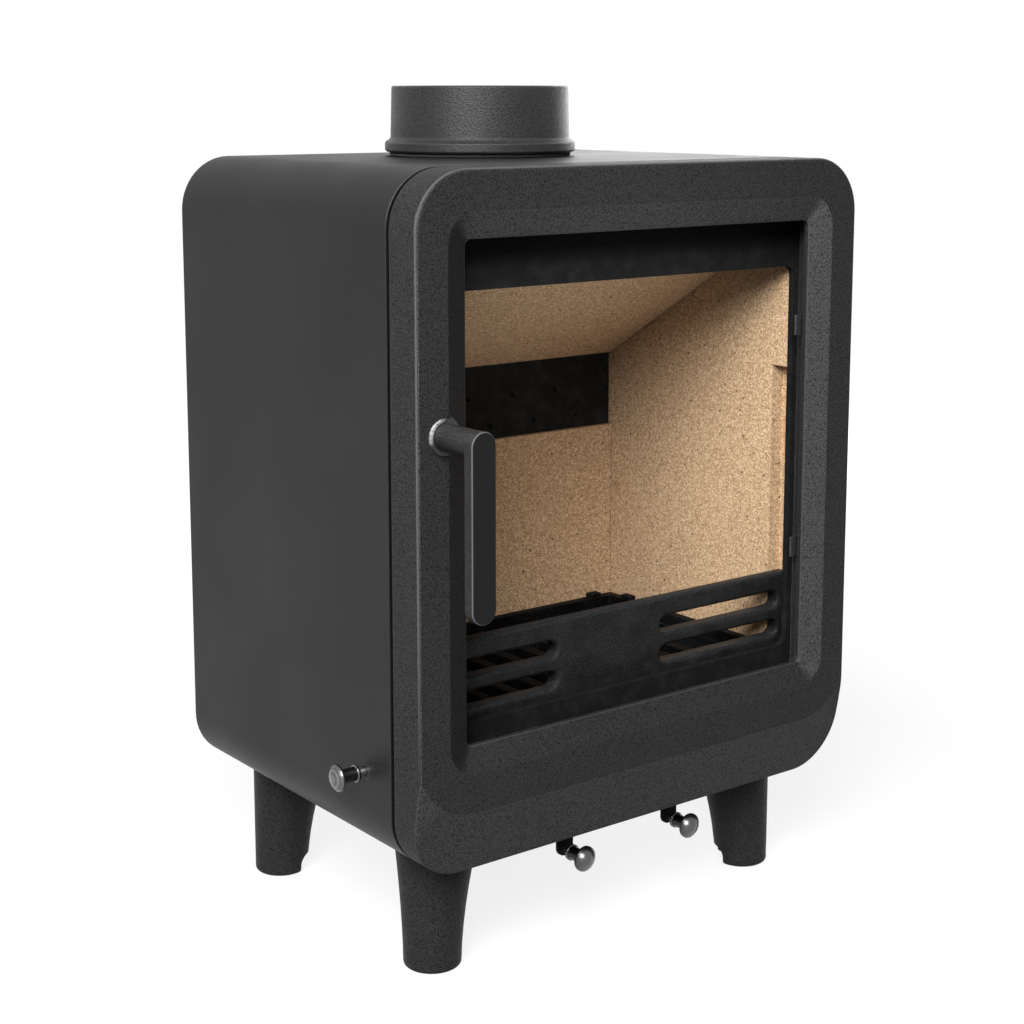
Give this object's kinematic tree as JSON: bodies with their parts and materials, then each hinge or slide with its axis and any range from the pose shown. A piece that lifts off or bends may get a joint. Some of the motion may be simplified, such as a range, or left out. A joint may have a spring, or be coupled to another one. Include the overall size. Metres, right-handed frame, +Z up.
{
  "type": "multi-fuel stove",
  "caption": "Free-standing multi-fuel stove with a glazed cast door, brick-lined firebox, riddling grate, air slides, ash pan and top flue collar on four tapered legs.",
  "frame": {"origin": "on the floor under the middle of the stove's overall box", "axes": "+Z up along the height, front and door face -Y, +X to the right of someone facing the door from in front"},
  "size_m": [0.4438, 0.3524, 0.61],
  "materials": {
    "casing_paint": "matte",
    "door_cast": "matte painted",
    "collar_cast": "matte painted",
    "leg_cast": "matte painted",
    "handle_cast": "matte painted",
    "grate_cast": "matte",
    "hinge_cast": "matte",
    "inner_black": "matte",
    "slide_black": "matte",
    "clip_steel": "satin",
    "zinc_steel": "satin",
    "dark_screws": "matte",
    "bright_steel": "polished",
    "knob_nickel": "brushed nickel",
    "firebrick": "rough vermiculite board",
    "rope": "knitted glass rope",
    "glass": "clear"
  },
  "bodies": {
    "stove": {"outer_casing": "casing_paint", "front_plate": "inner_black", "rear_panel": "casing_paint", "rear_blanking_plate": "casing_paint", "rear_blanking_bolts": "zinc_steel", "flue_collar": "collar_cast", "collar_seal": "rope", "collar_bolts": "zinc_steel", "leg_front_left": "leg_cast", "leg_front_right": "leg_cast", "leg_rear_left": "leg_cast", "leg_rear_right": "leg_cast", "leg_bolts": "zinc_steel", "levelling_feet": "zinc_steel", "side_brick_left": "firebrick", "side_brick_right": "firebrick", "rear_brick": "firebrick", "baffle_plate": "firebrick", "baffle_hanger": "inner_black", "rear_air_duct": "inner_black", "airwash_channel": "inner_black", "airwash_ducts": "inner_black", "air_box": "inner_black", "grate_shelf": "inner_black", "grate_frame": "grate_cast", "log_guard": "grate_cast", "ash_pan": "inner_black", "ash_pan_runners": "inner_black", "slide_guides": "inner_black", "body_hinge_knuckles": "hinge_cast", "body_hinge_screws": "dark_screws", "hinge_pins": "zinc_steel", "latch_keep": "zinc_steel", "keep_screws": "zinc_steel", "riddle_bush": "casing_paint"},
    "door": {"door_casting": "door_cast", "glass_pane": "glass", "glass_gasket": "rope", "glass_clips": "clip_steel", "glass_clip_screws": "dark_screws", "door_rope_seal": "rope", "door_hinge_knuckles": "hinge_cast", "door_hinge_screws": "dark_screws", "handle_bush": "zinc_steel"},
    "handle": {"door_handle": "handle_cast", "handle_washer": "bright_steel", "handle_spindle": "zinc_steel", "latch_cam": "zinc_steel", "spindle_nut": "zinc_steel"},
    "primary_air": {"primary_slide": "slide_black", "primary_stud": "bright_steel", "primary_knob": "knob_nickel"},
    "secondary_air": {"secondary_slide": "slide_black", "secondary_stud": "bright_steel", "secondary_knob": "knob_nickel"},
    "riddler": {"riddle_rod": "bright_steel", "riddle_knob": "knob_nickel", "riddle_yoke": "inner_black", "riddling_grate": "grate_cast"}
  },
  "joints": [
    {"name": "door_hinge", "type": "hinge", "parent": "stove", "child": "door", "pos_m": [0.2095, -0.10125, 0.3215], "axis": [0, 0, 1], "range_deg": [0, 110]},
    {"name": "handle_turn", "type": "hinge", "parent": "door", "child": "handle", "pos_m": [-0.179, -0.13275, 0.3875], "axis": [0, 1, 0], "range_deg": [-60, 12]},
    {"name": "primary_air_slide", "type": "slide", "parent": "stove", "child": "primary_air", "axis": [0, -1, 0], "range_m": [0, 0.025]},
    {"name": "secondary_air_slide", "type": "slide", "parent": "stove", "child": "secondary_air", "axis": [0, -1, 0], "range_m": [0, 0.025]},
    {"name": "riddling_slide", "type": "slide", "parent": "stove", "child": "riddler", "axis": [1, 0, 0], "range_m": [-0.011, 0.005]}
  ]
}
